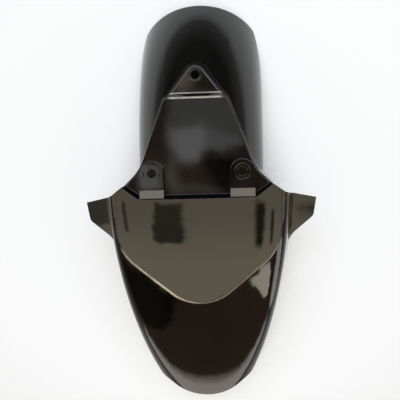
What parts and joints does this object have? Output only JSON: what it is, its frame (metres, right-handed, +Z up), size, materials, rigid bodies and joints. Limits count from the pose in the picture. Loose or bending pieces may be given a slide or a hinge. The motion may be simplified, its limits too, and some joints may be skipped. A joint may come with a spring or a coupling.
{
  "type": "front mudguard",
  "caption": "Moulded gloss black plastic front mudguard for a motor scooter: arched tail, bolt-down deck, raised hood panel, rounded nose and flat side ears.",
  "frame": {"origin": "midway between the two front bolt holes, on the round seats of their washers", "axes": "+Z up along the bolts, +Y back to the tail, nose towards -Y, +X the rider's left"},
  "size_m": [0.29, 0.5104, 0.129],
  "materials": {
    "gloss_black": "high gloss black, mould finish"
  },
  "bodies": {
    "root": {"front_mudguard": "gloss_black"}
  },
  "joints": []
}
